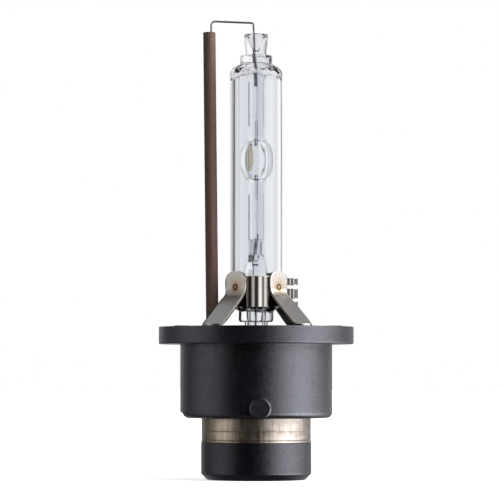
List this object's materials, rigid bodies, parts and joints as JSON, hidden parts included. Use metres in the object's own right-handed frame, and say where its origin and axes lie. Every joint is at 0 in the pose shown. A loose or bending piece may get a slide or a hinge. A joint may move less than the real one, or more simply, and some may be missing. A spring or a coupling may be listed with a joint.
{
  "type": "gas-discharge headlight bulb",
  "caption": "Gas-discharge headlight bulb: quartz burner in an outer glass, clamped on a flanged twist-lock cap, with a ceramic-sleeved return wire and a contact ring.",
  "frame": {"origin": "where the lamp axis meets the reference plane touched by the three seating bosses on the flange", "axes": "+Z along the lamp axis from the cap to the glass tip; -X towards the return wire and its ceramic sleeve; the two locking lugs face -Y and +Y"},
  "size_m": [0.0318, 0.0318, 0.0751],
  "materials": {
    "outer_glass": "clear UV-blocking quartz, fire polished",
    "quartz": "clear quartz, pinched at the seals",
    "tungsten": "drawn tungsten, dull grey",
    "foil": "etched molybdenum foil",
    "lead_wire": "drawn wire, lightly oxidised grey",
    "salt": "frozen yellow-tan halide film",
    "ceramic": "unglazed red-brown extruded ceramic, matte",
    "band_steel": "bright rolled stainless strip",
    "leg_steel": "pickled stainless strip, spot-weld heat tint",
    "cap_plastic": "mineral-filled moulding, fine flow texture",
    "collar_plastic": "mineral-filled moulding, satin",
    "ring_metal": "worn nickel-plated band with vertical scuffs",
    "contact_metal": "plated contact pin"
  },
  "bodies": {
    "lamp": {"outer_bulb": "outer_glass", "arc_tube": "quartz", "upper_electrode": "tungsten", "lower_electrode": "tungsten", "upper_foil": "foil", "lower_foil": "foil", "upper_lead": "lead_wire", "lower_lead": "lead_wire", "halide_salt": "salt", "return_wire": "lead_wire", "clamp_band": "band_steel", "leg_front_left": "leg_steel", "leg_front_right": "leg_steel", "leg_rear_left": "leg_steel", "leg_rear_right": "leg_steel", "leg_ring": "leg_steel", "base_housing": "cap_plastic", "contact_ring": "ring_metal", "end_collar": "collar_plastic", "centre_contact": "contact_metal"},
    "sleeve": {"insulator_sleeve": "ceramic"}
  },
  "joints": [
    {"name": "sleeve_spin", "type": "hinge", "parent": "lamp", "child": "sleeve", "pos_m": [-0.00716, 0, 0], "axis": [-0.0108, 0, 0.9999], "continuous": true}
  ]
}
